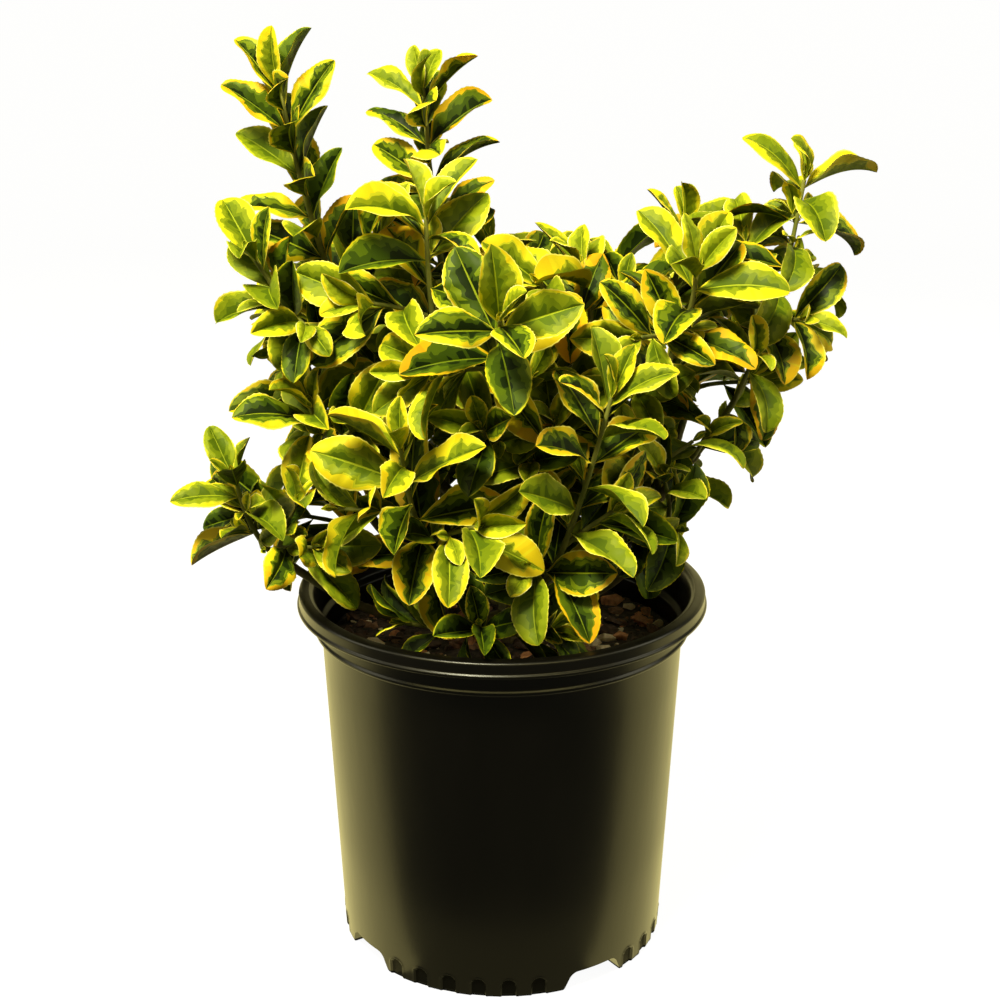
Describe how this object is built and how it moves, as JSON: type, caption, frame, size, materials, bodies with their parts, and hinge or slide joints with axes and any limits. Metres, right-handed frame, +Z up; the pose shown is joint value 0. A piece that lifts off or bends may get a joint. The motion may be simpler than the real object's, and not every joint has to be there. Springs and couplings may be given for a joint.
{
  "type": "potted golden euonymus",
  "caption": "Bushy evergreen shrub with oval yellow-edged leaves on upright shoots, growing in a round black nursery pot with a rolled lip and a notched foot.",
  "frame": {"origin": "middle of the pot's flat underside, on the surface it stands on", "axes": "+Z up along the pot's axis, -Y towards the pictured front, +X to the right seen from the front"},
  "size_m": [0.3776, 0.3053, 0.5151],
  "materials": {
    "pot": "satin black moulded plastic",
    "soil": "rough dark bark mix",
    "bark": "ridged olive-brown bark",
    "leaf": "glossy green leaf with yellow margin"
  },
  "bodies": {
    "root": {"bough_back_far": "bark", "bough_back_left": "bark", "bough_back_low": "bark", "bough_back_middle": "bark", "bough_back_right": "bark", "bough_centre_front": "bark", "bough_centre_tall": "bark", "bough_front_left": "bark", "bough_front_low": "bark", "bough_front_middle": "bark", "bough_front_right": "bark", "bough_inner_back": "bark", "bough_inner_front": "bark", "bough_left_far": "bark", "bough_left_low": "bark", "bough_left_middle": "bark", "bough_left_rim": "bark", "bough_left_tall": "bark", "bough_left_upper": "bark", "bough_right_back": "bark", "bough_right_far": "bark", "bough_right_front": "bark", "bough_right_low": "bark", "bough_right_middle": "bark", "bough_right_rim": "bark", "bough_right_tall": "bark", "bough_right_upper": "bark", "foliage_back_far": "leaf", "foliage_back_left": "leaf", "foliage_back_low": "leaf", "foliage_back_middle": "leaf", "foliage_back_right": "leaf", "foliage_centre_front": "leaf", "foliage_centre_spire": "leaf", "foliage_front_left": "leaf", "foliage_front_low": "leaf", "foliage_front_middle": "leaf", "foliage_front_right": "leaf", "foliage_inner_back": "leaf", "foliage_inner_front": "leaf", "foliage_left_far": "leaf", "foliage_left_low": "leaf", "foliage_left_middle": "leaf", "foliage_left_rim": "leaf", "foliage_left_spire": "leaf", "foliage_left_upper": "leaf", "foliage_right_back": "leaf", "foliage_right_far": "leaf", "foliage_right_front": "leaf", "foliage_right_low": "leaf", "foliage_right_middle": "leaf", "foliage_right_rim": "leaf", "foliage_right_spire": "leaf", "foliage_right_upper": "leaf", "pot": "pot", "soil": "soil", "stem": "bark"}
  },
  "joints": []
}
